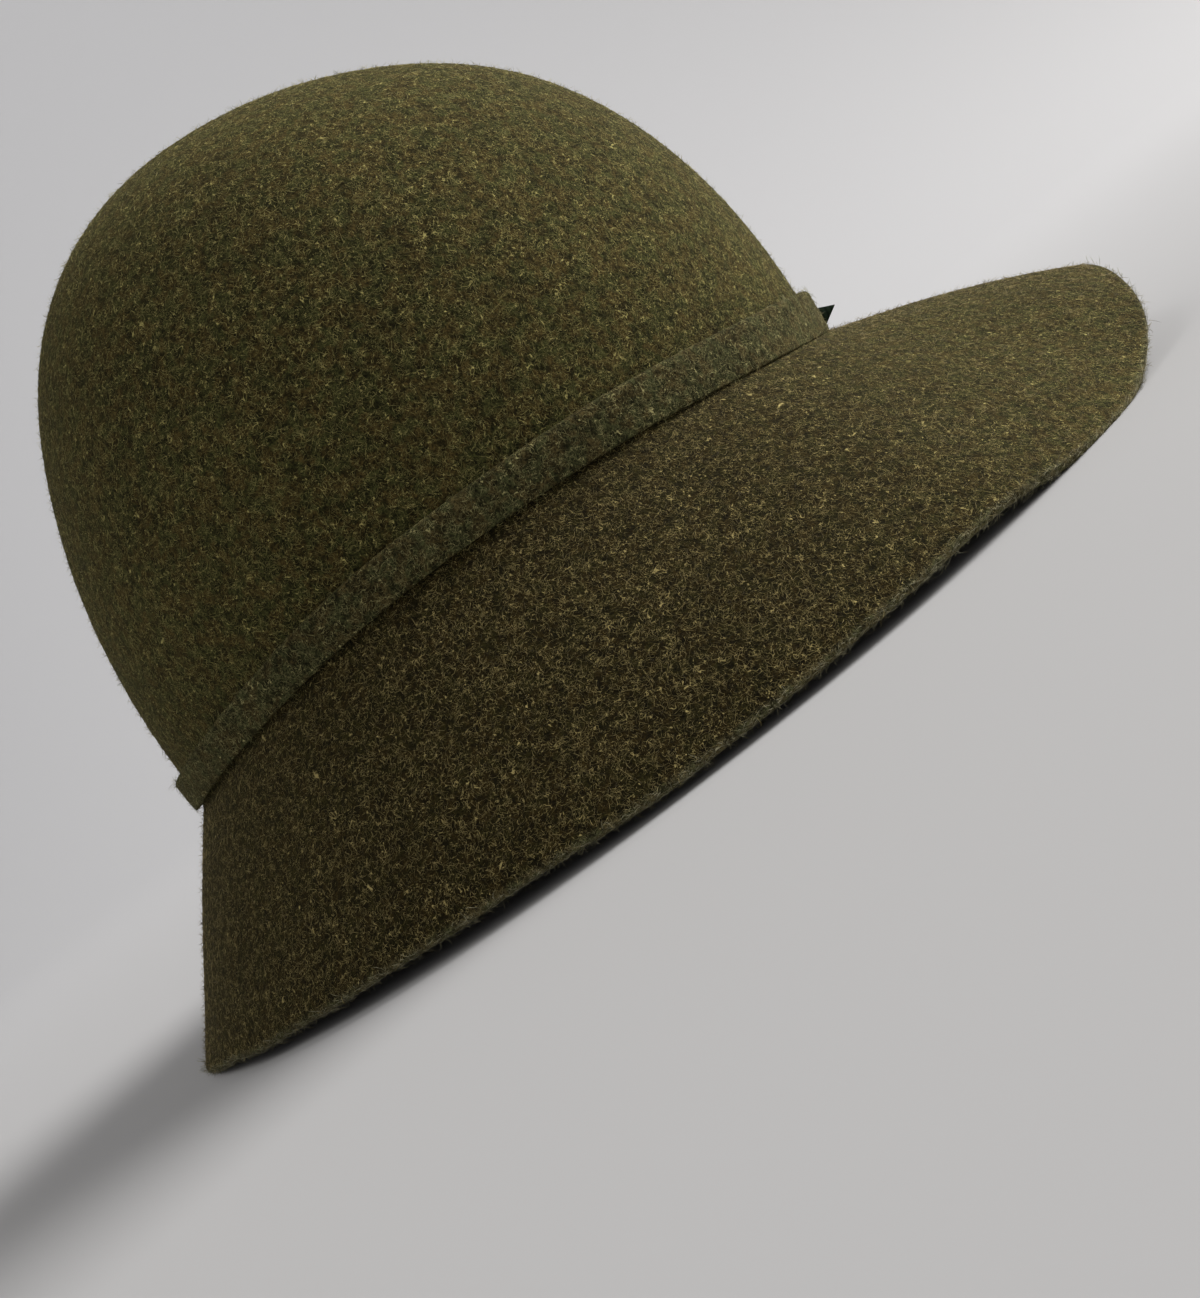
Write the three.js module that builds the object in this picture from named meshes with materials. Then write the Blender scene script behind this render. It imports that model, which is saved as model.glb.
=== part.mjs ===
// A cloche hat of marled olive wool felt: one blocked hood, crown and brim together, with a narrow
// felt band round the foot of the crown and a small dark ribbon tab at the front.
// Millimetres, +Z up. The front of the hat faces -Y and the wearer's right is -X.
// The hat rests on its brim, and the origin is on that surface, below the middle of the hat.
import * as THREE from "three";

// Felt hood
const feltThickness = 2.6;
const headLength = 195.8; // inside, front to back: a 57 cm head
const headWidth = 166.4; // inside, side to side
const crownHeight = 133.6; // from the break line at the centre front to the top
const crownLean = -5.3; // how far the middle of the top sits behind the middle of the head opening
const crownTilt = 14.9; // how far the top slopes up towards the back, over half the head's length
const breakRise = 11.5; // how much higher the break line runs at the sides
const breakSkew = 5.6; // how much of that rise moves from the front half to the back half
const breakFillet = 2; // how far the crease between crown and brim reaches each way
const brimReach = 72.6; // out from the break line, at the centre front
const brimDrop = 52.6; // below the break line, at the centre back
const brimBulge = 2.3; // how far the brim is arched up between break line and edge, at the front
const restPress = 1.5; // how far the deepest stretch of the brim edge is pressed flat by its weight

// Felt band
const bandHeight = 9.1; // at the sides
const bandTaper = 1.3; // how much taller it is at the front, and lower at the back
const bandThickness = 2.6;
const bandLift = 0.3; // of its lower edge above the break line
const bandRounding = 0.9;

// Ribbon tab
const tabThickness = 1.2;
const tabHeight = 4.8;
const tabLift = 0.6; // of its lower edge above the break line
const tabStart = -15; // azimuth of its square end, in degrees: it lies on the wearer's left
const tabTurn = -3; // azimuth where it leaves the band
const tabBend = 2.4; // radius of the bend that turns it outwards
const tabBendAngle = 78; // in degrees
const tabReach = 2.4; // straight part between the bend and its point
const tabPoint = 4.5; // length of the point
const tabPointHeight = 0.58; // where the tip lies across the tab's height, as a share

const clearance = 0.3; // between neighbouring pieces

// Crown sections, by angle above the break line in degrees.
// front and back swell the ellipse from head opening to top, as shares of its size.
const crownSections = [
  { angle: 0, front: 1, back: 1 },
  { angle: 20, front: 1.055, back: 1.022 },
  { angle: 45, front: 1.087, back: 1.048 },
  { angle: 70, front: 1.038, back: 1.03 },
  { angle: 90, front: 1, back: 1 },
];

// Brim sections, by azimuth from the centre front in degrees, the same on both sides of the hat.
// reach, drop and bulge are shares of brimReach, brimDrop and brimBulge.
const brimSections = [
  { azimuth: 0, reach: 1, drop: 0.534, bulge: 1 },
  { azimuth: 15, reach: 0.95, drop: 0.702, bulge: 0.8 },
  { azimuth: 30, reach: 0.86, drop: 0.939, bulge: 0.49 },
  { azimuth: 45, reach: 0.79, drop: 0.989, bulge: 0.38 },
  { azimuth: 60, reach: 0.74, drop: 0.905, bulge: 0.33 },
  { azimuth: 90, reach: 0.66, drop: 0.93, bulge: 0.1 },
  { azimuth: 120, reach: 0.59, drop: 0.9, bulge: 0.26 },
  { azimuth: 150, reach: 0.56, drop: 0.926, bulge: 0.32 },
  { azimuth: 180, reach: 0.545, drop: 1, bulge: 0.16 },
];

// How finely the surfaces are divided
const azimuthSteps = 72;
const brimRows = 7;
const filletRows = 3;
const crownRows = 13;
const cornerPoints = 3;
const tabRows = 5;

const outerHalfLength = headLength / 2 + feltThickness;
const outerHalfWidth = headWidth / 2 + feltThickness;

// The value of one column between the rows of a table, on a smooth curve through them.
// The curve runs level at its end, and at its start too where the table repeats there by symmetry.
function readTable(rows, key, column, at, levelStart) {
  const last = rows.length - 1;
  const slope = (i) => {
    if (i === last || (i === 0 && levelStart)) return 0;
    const before = rows[Math.max(i - 1, 0)];
    const after = rows[i + 1];
    return (after[column] - before[column]) / (after[key] - before[key]);
  };
  let i = 0;
  while (i < last - 1 && at > rows[i + 1][key]) i += 1;
  const width = rows[i + 1][key] - rows[i][key];
  const t = (at - rows[i][key]) / width;
  const rise = rows[i + 1][column] - rows[i][column];
  const bend = t * (1 - t) * ((1 - t) * (slope(i) * width - rise) + t * (rise - slope(i + 1) * width));
  return rows[i][column] + rise * t + bend;
}

// The foot of the crown's outer face at an azimuth, with the level direction square to it.
function breakPoint(azimuth) {
  const a = THREE.MathUtils.degToRad(azimuth);
  const sine = Math.sin(a);
  const cosine = Math.cos(a);
  const height = (breakRise - breakSkew * cosine) * sine * sine;
  return {
    point: new THREE.Vector3(-outerHalfWidth * sine, -outerHalfLength * cosine, height),
    outward: new THREE.Vector3(-sine / outerHalfWidth, -cosine / outerHalfLength, 0).normalize(),
  };
}

function crownSwell(azimuth, angle) {
  const frontShare = (1 + Math.cos(THREE.MathUtils.degToRad(azimuth))) / 2;
  const front = readTable(crownSections, "angle", "front", angle, false);
  const back = readTable(crownSections, "angle", "back", angle, false);
  return front * frontShare + back * (1 - frontShare);
}

// A point of the crown's outer face, at an azimuth and an angle above the break line.
function crownPoint(azimuth, angle) {
  const foot = breakPoint(azimuth).point;
  const swell = crownSwell(azimuth, angle);
  const across = swell * Math.cos(THREE.MathUtils.degToRad(angle));
  const up = swell * Math.sin(THREE.MathUtils.degToRad(angle));
  const point = new THREE.Vector3(foot.x * across, foot.y * across + crownLean * up * up, 0);
  const slope = crownTilt * (point.y / outerHalfLength) * up * up;
  return point.setZ(foot.z * (1 - up) + crownHeight * up + slope);
}

// The section angle at which the crown's face stands a given height above its foot.
function crownAngle(azimuth, height) {
  const foot = breakPoint(azimuth).point.z;
  let angle = 0;
  for (let i = 0; i < 8; i += 1) {
    const reached = crownPoint(azimuth, angle).z - foot;
    angle += THREE.MathUtils.radToDeg((height - reached) / (crownHeight - foot));
  }
  return angle;
}

// A point of the brim's upper face, at an azimuth and a share of the way from break line to edge.
function brimPoint(azimuth, share) {
  const { point, outward } = breakPoint(azimuth);
  const side = Math.abs(azimuth > 180 ? azimuth - 360 : azimuth);
  const reach = brimReach * readTable(brimSections, "azimuth", "reach", side, true);
  const drop = brimDrop * readTable(brimSections, "azimuth", "drop", side, true) + point.z;
  const bulge = brimBulge * readTable(brimSections, "azimuth", "bulge", side, true) * 4 * share * (1 - share);
  const slant = Math.hypot(reach, drop);
  return outward
    .multiplyScalar(reach * share + (bulge * drop) / slant)
    .add(point)
    .setZ(point.z - drop * share + (bulge * reach) / slant);
}

// The hood's outer face at one azimuth, from the brim edge up to just below the top.
function hoodSection(azimuth) {
  const points = [];
  const brimStart = breakFillet / brimPoint(azimuth, 1).distanceTo(breakPoint(azimuth).point);
  for (let i = 0; i < brimRows; i += 1) {
    points.push(brimPoint(azimuth, THREE.MathUtils.lerp(1, brimStart, i / brimRows)));
  }
  const crownStart = crownAngle(azimuth, breakFillet);
  const crease = new THREE.QuadraticBezierCurve3(
    brimPoint(azimuth, brimStart),
    breakPoint(azimuth).point,
    crownPoint(azimuth, crownStart),
  );
  points.push(...crease.getPoints(filletRows));
  for (let i = 1; i < crownRows; i += 1) {
    points.push(crownPoint(azimuth, THREE.MathUtils.lerp(crownStart, 90, i / crownRows)));
  }
  return points;
}

// A surface through rings of points. Its two ends close to a point each, or to one another.
function stitchRings(rings, startPoint, endPoint) {
  const count = rings[0].length;
  const points = rings.flat();
  const indices = [];
  const closed = !startPoint;
  const bands = closed ? rings.length : rings.length - 1;
  for (let i = 0; i < bands; i += 1) {
    const lower = i * count;
    const upper = ((i + 1) % rings.length) * count;
    for (let j = 0; j < count; j += 1) {
      const next = (j + 1) % count;
      indices.push(lower + j, upper + j, upper + next);
      indices.push(lower + j, upper + next, lower + next);
    }
  }
  if (!closed) {
    const start = points.push(startPoint) - 1;
    const end = points.push(endPoint) - 1;
    const top = (rings.length - 1) * count;
    for (let j = 0; j < count; j += 1) {
      const next = (j + 1) % count;
      indices.push(start, j, next);
      indices.push(end, top + next, top + j);
    }
  }
  const geometry = new THREE.BufferGeometry().setFromPoints(points);
  geometry.setIndex(indices);
  geometry.computeVertexNormals();
  return geometry;
}

// Rings of points round the hat, one for each point of the sections.
function ringsRoundHat(sectionAt) {
  const sections = [];
  for (let j = 0; j < azimuthSteps; j += 1) sections.push(sectionAt((360 * j) / azimuthSteps));
  return sections[0].map((_, i) => sections.map((section) => section[i]));
}

// The face lying one felt thickness inside another face, ring by ring and at its top.
function insideFace(rings, top) {
  const shell = stitchRings(rings, rings[0][0], top);
  const normals = shell.getAttribute("normal");
  const count = rings[0].length;
  return rings.map((ring, i) =>
    ring.map((point, j) => {
      const normal = new THREE.Vector3().fromBufferAttribute(normals, i * count + j);
      return point.clone().addScaledVector(normal, -feltThickness);
    }),
  );
}

function makeHood() {
  const outer = ringsRoundHat(hoodSection);
  const top = crownPoint(0, 90);
  const edge = outer[0];
  const inner = insideFace(outer, top);
  // The cut edge is square to the brim's faces, and its heel is the middle of the cut.
  const beforeEdge = outer[1];
  inner[0] = edge.map((point, j) => {
    const along = point.clone().sub(beforeEdge[j]).normalize();
    const round = edge[(j + 1) % azimuthSteps].clone().sub(edge.at(j - 1)).normalize();
    const inward = new THREE.Vector3().crossVectors(along, round).normalize();
    return point.clone().addScaledVector(inward, feltThickness);
  });
  const heel = edge.map((point, j) => point.clone().lerp(inner[0][j], 0.5));
  const innerTop = top.clone().setZ(top.z - feltThickness);
  return stitchRings([...inner.slice().reverse(), heel, ...outer], innerTop, top);
}

// A point off the crown's outer face, at a height above the break line and a distance from the face.
function offCrown(azimuth, height, distance) {
  const point = crownPoint(azimuth, crownAngle(azimuth, height));
  return point.addScaledVector(breakPoint(azimuth).outward, distance);
}

// The outline of a strip with rounded corners, as height and depth, down its back and up its face.
function roundedStrip(height, depth, rounding) {
  const corners = [
    { height: height - rounding, depth: rounding, turn: 90 },
    { height: rounding, depth: rounding, turn: 180 },
    { height: rounding, depth: depth - rounding, turn: 270 },
    { height: height - rounding, depth: depth - rounding, turn: 360 },
  ];
  const points = [];
  for (const corner of corners) {
    for (let i = 0; i < cornerPoints; i += 1) {
      const a = THREE.MathUtils.degToRad(corner.turn + (90 * i) / (cornerPoints - 1));
      points.push({
        height: corner.height + rounding * Math.sin(a),
        depth: corner.depth + rounding * Math.cos(a),
      });
    }
  }
  return points;
}

function makeBand() {
  const rings = ringsRoundHat((azimuth) => {
    const height = bandHeight + bandTaper * Math.cos(THREE.MathUtils.degToRad(azimuth));
    const strip = roundedStrip(height, bandThickness, bandRounding);
    return strip.map((corner) => offCrown(azimuth, bandLift + corner.height, clearance + corner.depth));
  });
  return stitchRings(rings);
}

// The tab lies along the band, bends outwards near the centre front and ends in a point.
function makeTab() {
  const onBand = 2 * clearance + bandThickness + tabThickness / 2;
  const turnFrame = breakPoint(tabTurn).outward;
  const forward = new THREE.Vector3(turnFrame.y, -turnFrame.x, 0);
  const rings = [];
  const addRing = (azimuth, offset, across, low, high) => {
    const back = across.clone().multiplyScalar(-tabThickness / 2);
    const face = across.clone().multiplyScalar(tabThickness / 2);
    const at = (share, side) =>
      offCrown(azimuth, tabLift, onBand)
        .lerp(offCrown(azimuth, tabLift + tabHeight, onBand), share)
        .add(offset)
        .add(side);
    rings.push([at(high, back), at(high, face), at(low, face), at(low, back)]);
  };
  for (let i = 0; i < tabRows; i += 1) {
    const azimuth = THREE.MathUtils.lerp(tabStart, tabTurn, i / tabRows);
    addRing(azimuth, new THREE.Vector3(), breakPoint(azimuth).outward, 0, 1);
  }
  const bendOffset = (a) =>
    forward
      .clone()
      .multiplyScalar(tabBend * Math.sin(a))
      .addScaledVector(turnFrame, tabBend * (1 - Math.cos(a)));
  const bendAcross = (a) =>
    turnFrame.clone().multiplyScalar(Math.cos(a)).addScaledVector(forward, -Math.sin(a));
  const bendEnd = THREE.MathUtils.degToRad(tabBendAngle);
  for (let i = 0; i <= tabRows; i += 1) {
    const a = (bendEnd * i) / tabRows;
    addRing(tabTurn, bendOffset(a), bendAcross(a), 0, 1);
  }
  const onwards = forward
    .clone()
    .multiplyScalar(Math.cos(bendEnd))
    .addScaledVector(turnFrame, Math.sin(bendEnd));
  const pointStart = bendOffset(bendEnd).addScaledVector(onwards, tabReach);
  addRing(tabTurn, pointStart, bendAcross(bendEnd), 0, 1);
  const bluntShare = 0.9;
  addRing(
    tabTurn,
    pointStart.clone().addScaledVector(onwards, tabPoint * bluntShare),
    bendAcross(bendEnd),
    tabPointHeight * bluntShare,
    1 - (1 - tabPointHeight) * bluntShare,
  );
  const middle = (ring) => ring.reduce((sum, p) => sum.add(p), new THREE.Vector3()).divideScalar(ring.length);
  const tip = offCrown(tabTurn, tabLift + tabHeight * tabPointHeight, onBand)
    .add(pointStart)
    .addScaledVector(onwards, tabPoint);
  return stitchRings(rings, middle(rings[0]), tip);
}

// Sets a piece on the resting surface: what would reach below it is pressed flat against it.
function rest(geometry, move) {
  geometry.translate(move.x, move.y, move.z);
  const position = geometry.getAttribute("position");
  for (let i = 0; i < position.count; i += 1) position.setZ(i, Math.max(position.getZ(i), 0));
  geometry.computeVertexNormals();
  return geometry;
}

function makeHat() {
  const hood = makeHood();
  hood.computeBoundingBox();
  const middle = hood.boundingBox.getCenter(new THREE.Vector3());
  const move = new THREE.Vector3(-middle.x, -middle.y, -hood.boundingBox.min.z - restPress);
  const hat = new THREE.Group();
  const add = (name, geometry, color, roughness) => {
    const material = new THREE.MeshStandardMaterial({ color, roughness, metalness: 0 });
    const mesh = new THREE.Mesh(rest(geometry, move), material);
    mesh.name = name;
    hat.add(mesh);
  };
  add("hat_body", hood, 0x59553a, 0.95);
  add("band", makeBand(), 0x53553d, 0.95);
  add("ribbon_tab", makeTab(), 0x1d2a1c, 0.6);
  return hat;
}

export default makeHat();
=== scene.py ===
import math

import bpy
import numpy as np
from mathutils import Matrix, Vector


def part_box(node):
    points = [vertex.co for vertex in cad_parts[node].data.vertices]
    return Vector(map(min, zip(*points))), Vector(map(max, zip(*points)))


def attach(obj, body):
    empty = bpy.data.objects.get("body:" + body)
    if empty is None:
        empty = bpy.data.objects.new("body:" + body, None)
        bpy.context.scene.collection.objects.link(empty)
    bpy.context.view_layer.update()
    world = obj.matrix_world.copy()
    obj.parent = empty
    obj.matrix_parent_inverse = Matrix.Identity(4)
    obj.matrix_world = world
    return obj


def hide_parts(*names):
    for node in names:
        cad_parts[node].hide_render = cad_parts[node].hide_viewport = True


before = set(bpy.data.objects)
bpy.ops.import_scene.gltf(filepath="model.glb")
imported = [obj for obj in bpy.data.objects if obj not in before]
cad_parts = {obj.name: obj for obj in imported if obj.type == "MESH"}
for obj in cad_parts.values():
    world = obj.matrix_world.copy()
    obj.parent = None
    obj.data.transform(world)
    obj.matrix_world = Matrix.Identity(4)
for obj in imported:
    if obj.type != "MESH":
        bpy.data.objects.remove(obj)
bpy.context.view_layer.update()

# A cloche hat of marled olive wool felt, with a narrow felt band and a small ribbon tab.
# Metres, +Z up. The front of the hat faces -Y and the wearer's right is -X.

print("stage: frame loaded")

# The hood's own sizes. Azimuth is in degrees from the centre front towards the wearer's right.
hood = {
    "feltThickness": 0.0026,
    "headLength": 0.1958,      # inside, front to back
    "headWidth": 0.1664,       # inside, side to side
    "crownHeight": 0.1336,
    "crownLean": -0.0053,      # how far back the middle of the top sits
    "crownTilt": 0.0149,       # how far the top slopes up towards the back, over half the head's length
    "breakRise": 0.0115,       # how much higher the break line runs at the sides
    "breakSkew": 0.0056,       # how much of that rise moves from the front half to the back half
    "breakFillet": 0.002,      # how far the crease between crown and brim reaches each way
    "brimReach": 0.0726,       # at the centre front
    "brimDrop": 0.0526,        # below the break line, at the centre back
    "brimBulge": 0.0023,       # how far the brim is arched up, at the front
    "edgeRound": 0.0004,       # how far the cut edge swells between its two faces
    "azimuths": 320,
    "brimRows": 54,
    "creaseRows": 8,
    "crownRows": 92,
    "edgeRows": 9,
    "insideStep": 2,           # the inside has one row for this many outside
    "angleSteps": 8,           # in which the search for a height on the crown settles
    "unevenness": 0.0005,      # how far the blocked felt wanders from its true shape
    "trueHeight": 0.01,        # height, near the band's, about which the felt keeps its true shape
    "trueReach": 0.012,        # how far up and down from there it does
    "unevenFade": 0.03,        # how much farther until it wanders fully
    "edgeWave": 0.0006,        # how far the cut edge wanders in and out
    "edgeWaveScale": 2.3,      # how many times shorter its waves are than those on the faces
    "edgeWaveRows": 7,         # rows of the brim that take part in the edge's waves
    "edgeHighlightFade": 1.5,           # rows over which the cut edge's painted highlight, its paler wools, fades into the faces
}

# Shares of the sizes above: front and back by angle above the break line, the rest by azimuth.
crownSections = {
    "angle": [0, 20, 45, 70, 90],
    "front": [1, 1.055, 1.087, 1.038, 1],
    "back": [1, 1.022, 1.048, 1.03, 1],
}
brimSections = {
    "azimuth": [0, 15, 30, 45, 60, 90, 120, 150, 180],
    "reach": [1, 0.95, 0.86, 0.79, 0.74, 0.66, 0.59, 0.56, 0.545],
    "drop": [0.534, 0.702, 0.939, 0.989, 0.905, 0.93, 0.9, 0.926, 1],
    "bulge": [1, 0.8, 0.49, 0.38, 0.33, 0.1, 0.26, 0.32, 0.16],
}

halfLength = hood["headLength"] / 2 + hood["feltThickness"]
halfWidth = hood["headWidth"] / 2 + hood["feltThickness"]


# A column of a table between its rows: a cubic through them, with the slope at each row taken from
# its two neighbours. It runs level at its end, and at its start too where the table repeats by symmetry.
def readTable(table, key, column, at, levelStart):
    xs = np.array(table[key], float)
    ys = np.array(table[column], float)
    slopes = np.zeros(len(xs))
    slopes[1:-1] = (ys[2:] - ys[:-2]) / (xs[2:] - xs[:-2])
    if not levelStart:
        slopes[0] = (ys[1] - ys[0]) / (xs[1] - xs[0])
    at = np.asarray(at, float)
    i = np.clip(np.searchsorted(xs, at) - 1, 0, len(xs) - 2)
    width = xs[i + 1] - xs[i]
    t = (at - xs[i]) / width
    rise = ys[i + 1] - ys[i]
    bend = t * (1 - t) * ((1 - t) * (slopes[i] * width - rise) + t * (rise - slopes[i + 1] * width))
    return ys[i] + rise * t + bend


# The break line: an oval, x = -halfWidth sin a, y = -halfLength cos a, that rises towards the sides
# with sin squared of a. Also gives the level direction square to the oval.
def breakLine(azimuth):
    a = np.radians(azimuth)
    height = (hood["breakRise"] - hood["breakSkew"] * np.cos(a)) * np.sin(a) ** 2
    points = np.stack([-halfWidth * np.sin(a), -halfLength * np.cos(a), height], -1)
    outward = np.stack([-np.sin(a) / halfWidth, -np.cos(a) / halfLength, 0 * a], -1)
    return points, outward / np.linalg.norm(outward, axis=-1, keepdims=True)


# How far the crown stands out from a plain quarter ellipse: the front and back shares of its section
# table, mixed by (1 + cos azimuth) / 2.
def crownSwell(azimuth, angle):
    frontShare = (1 + np.cos(np.radians(azimuth))) / 2
    front = readTable(crownSections, "angle", "front", angle, False)
    back = readTable(crownSections, "angle", "back", angle, False)
    return front * frontShare + back * (1 - frontShare)


# The crown: a quarter ellipse from the break line to the top at every azimuth, swollen by its section
# table: across = swell cos angle, up = swell sin angle. The top leans and tilts by up squared.
def crownFace(azimuth, angle):
    foot, _ = breakLine(azimuth)
    swell = crownSwell(azimuth, angle)
    across = swell * np.cos(np.radians(angle))
    up = swell * np.sin(np.radians(angle))
    y = foot[..., 1] * across + hood["crownLean"] * up ** 2
    z = foot[..., 2] * (1 - up) + hood["crownHeight"] * up + hood["crownTilt"] * y / halfLength * up ** 2
    return np.stack([foot[..., 0] * across, y, z], -1)


# The angle at which the crown's face stands at a height above its foot, found step by step: each step
# adds the height that is still missing, as a share of the crown's.
def crownAngle(azimuth, height):
    foot = breakLine(azimuth)[0][..., 2]
    angle = np.zeros(np.broadcast(azimuth, height).shape)
    for _ in range(hood["angleSteps"]):
        reached = crownFace(azimuth, angle)[..., 2] - foot
        angle = angle + np.degrees((height - reached) / (hood["crownHeight"] - foot))
    return angle


# The brim: a straight line from break line to edge, plus an arch of bulge times 4 t (1 - t) square to it.
def brimFace(azimuth, share):
    point, outward = breakLine(azimuth)
    side = np.abs((np.asarray(azimuth, float) + 180) % 360 - 180)
    reach = hood["brimReach"] * readTable(brimSections, "azimuth", "reach", side, True)
    drop = hood["brimDrop"] * readTable(brimSections, "azimuth", "drop", side, True) + point[..., 2]
    bulge = hood["brimBulge"] * readTable(brimSections, "azimuth", "bulge", side, True)
    bulge = bulge * 4 * share * (1 - share)
    slant = np.hypot(reach, drop)
    level = reach * share + bulge * drop / slant
    face = point + outward * level[..., None]
    face[..., 2] = point[..., 2] - drop * share + bulge * reach / slant
    return face


# Rows of the hood's outer face from the brim edge up to just below the top, on a grid of azimuths.
# The crease between brim and crown is a quadratic curve bent round the break line.
def hoodFace(azimuth):
    a = azimuth[None, :]
    foot, _ = breakLine(a)
    startShare = hood["breakFillet"] / np.linalg.norm(brimFace(a, np.ones_like(a)) - foot, axis=-1)
    t = np.linspace(0, 1, hood["brimRows"], endpoint=False)[:, None]
    brim = brimFace(a + 0 * t, 1 + (startShare - 1) * t)
    startAngle = crownAngle(a, hood["breakFillet"])
    t = np.linspace(0, 1, hood["creaseRows"] + 1)[:, None, None]
    brimEnd, crownEnd = brimFace(a, startShare), crownFace(a, startAngle)
    crease = (1 - t) ** 2 * brimEnd + 2 * t * (1 - t) * foot + t ** 2 * crownEnd
    t = np.linspace(0, 1, hood["crownRows"] + 1)[1:-1, None]
    crown = crownFace(a + 0 * t, startAngle + (90 - startAngle) * t)
    return np.concatenate([brim, crease, crown])


# Normals of a grid of rings, from the cross product of its differences along and round.
def ringNormals(rings):
    along = np.gradient(rings, axis=0)
    around = np.roll(rings, -1, axis=1) - np.roll(rings, 1, axis=1)
    normals = np.cross(along, around)
    return normals / np.linalg.norm(normals, axis=-1, keepdims=True)


# Waves over the blocked felt: radians for each metre along each axis, and where each wave starts.
feltWaves = {
    "x": [61, -31, 17, 88, -45],
    "y": [23, 52, -71, 35, -28],
    "z": [-37, 44, 58, 21, 96],
    "start": [0.3, 1.9, 4.1, 2.6, 5.2],
}


# Slow waves some centimetres long over the felt, between -1 and 1: the mean of sines of position,
# in directions that share no common period.
def slowWaves(points):
    directions = np.array([feltWaves["x"], feltWaves["y"], feltWaves["z"]], float)
    return np.sin(points @ directions + feltWaves["start"]).mean(-1)


# Builds a mesh from rings of points. The ends close to a point each, or else the last ring joins the first.
def meshFromRings(name, rings, startPoint=None, endPoint=None):
    rows, count = rings.shape[:2]
    closed = startPoint is None
    row = np.arange(rows if closed else rows - 1)[:, None]
    column = np.arange(count)[None, :]
    nextRow = (row + 1) % rows
    nextColumn = (column + 1) % count
    quads = np.stack(np.broadcast_arrays(
        row * count + column, nextRow * count + column,
        nextRow * count + nextColumn, row * count + nextColumn), -1).reshape(-1, 4)
    points = rings.reshape(-1, 3)
    tris = np.zeros((0, 3), int)
    if not closed:
        points = np.concatenate([points, [startPoint, endPoint]])
        j = np.arange(count)
        k = (j + 1) % count
        start = np.full(count, rows * count)
        lastRow = (rows - 1) * count
        startFan = np.stack([start, j, k], -1)
        endFan = np.stack([start + 1, lastRow + k, lastRow + j], -1)
        tris = np.concatenate([startFan, endFan])
    return meshFromFaces(name, points, quads, tris)


# A smooth mesh from points and the corners of its four-sided and three-sided faces.
def meshFromFaces(name, points, quads, tris):
    mesh = bpy.data.meshes.new(name)
    mesh.vertices.add(len(points))
    mesh.vertices.foreach_set("co", np.ascontiguousarray(points, np.float32).ravel())
    corners = np.concatenate([quads.ravel(), tris.ravel()])
    mesh.loops.add(len(corners))
    mesh.loops.foreach_set("vertex_index", corners.astype(np.int32))
    starts = np.concatenate([np.arange(len(quads)) * 4, len(quads) * 4 + np.arange(len(tris)) * 3])
    mesh.polygons.add(len(starts))
    mesh.polygons.foreach_set("loop_start", starts.astype(np.int32))
    mesh.update(calc_edges=True)
    mesh.polygons.foreach_set("use_smooth", np.ones(len(starts), bool))
    mesh.validate()
    piece = bpy.data.objects.new(name, mesh)
    bpy.context.scene.collection.objects.link(piece)
    return piece


# The middle of the head opening in the frame, level with the break line at the centre front. Its
# height comes from the crown's highest point, which lies near the top between front and back.
bodyLow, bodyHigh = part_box("hat_body")
nearTop = np.meshgrid([0.0, 180.0], np.linspace(60, 90, 200))
hatMiddle = np.array([
    (bodyLow[0] + bodyHigh[0]) / 2,
    bodyLow[1] + halfLength + hood["brimReach"],
    bodyHigh[2] - crownFace(*nearTop)[..., 2].max(),
])


# Moves a shape to its place in the frame, and presses flat what would reach below the floor.
def placeHat(points):
    placed = points + hatMiddle
    placed[..., 2] = np.maximum(placed[..., 2], 0)
    return placed


# How far the felt wanders from its true shape: slow waves, from nothing at the band to the full
# unevenness on the crown and the brim, by a smooth step of 3 t squared minus 2 t cubed.
def unevenFelt(points):
    away = np.abs(points[..., 2] - hood["trueHeight"]) - hood["trueReach"]
    fade = np.clip(away / hood["unevenFade"], 0, 1)
    return hood["unevenness"] * slowWaves(points) * fade ** 2 * (3 - 2 * fade)


# The hood's skin: the outer face, the inner face one thickness of felt inside it, and the cut edge that
# joins them at the brim, half a turn of cosine across and sine outwards.
def makeHood():
    azimuth = np.arange(hood["azimuths"]) * 360 / hood["azimuths"]
    outer = hoodFace(azimuth)
    outer += ringNormals(outer) * unevenFelt(outer)[..., None]
    wave = hood["edgeWave"] * slowWaves(outer[0] * hood["edgeWaveScale"])
    alongEdge = outer[0] - outer[1]
    alongEdge /= np.linalg.norm(alongEdge, axis=-1, keepdims=True)
    fade = np.linspace(1, 0, hood["edgeWaveRows"])[:, None, None]
    outer[:hood["edgeWaveRows"]] += alongEdge * wave[:, None] * fade
    normals = ringNormals(outer)
    inner = (outer - normals * hood["feltThickness"])[::hood["insideStep"]]
    s = np.linspace(0, 1, hood["edgeRows"])[1:-1, None, None]
    edge = outer[0] - normals[0] * hood["feltThickness"] * (1 - np.cos(np.pi * s)) / 2
    edge = edge + alongEdge * hood["edgeRound"] * np.sin(np.pi * s)
    rings = np.concatenate([inner[::-1], edge[::-1], outer])
    top = crownFace(np.array(0.0), np.array(90.0))
    innerTop = top - [0, 0, hood["feltThickness"]]
    piece = meshFromRings("hood_felt", placeHat(rings), placeHat(innerTop), placeHat(top))
    markCutEdge(piece, rings.shape[1], len(inner), len(edge), len(outer))
    return piece, outer, edge[::-1]


# Marks each point with how far it belongs to the cut edge, where the felt is painted paler as a painted
# highlight: one on the edge's rows, fading on both sides.
def markCutEdge(piece, azimuths, innerRows, edgeRows, outerRows):
    row = np.arange(innerRows + edgeRows + outerRows)
    fromEdge = np.abs(row - innerRows - (edgeRows - 1) / 2) - edgeRows / 2
    share = np.repeat(np.clip(1 - fromEdge / hood["edgeHighlightFade"], 0, 1), azimuths)
    mark = piece.data.attributes.new("cut edge", "FLOAT", "POINT")
    mark.data.foreach_set("value", np.concatenate([share, [0, 0]]).astype(np.float32))


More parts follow.
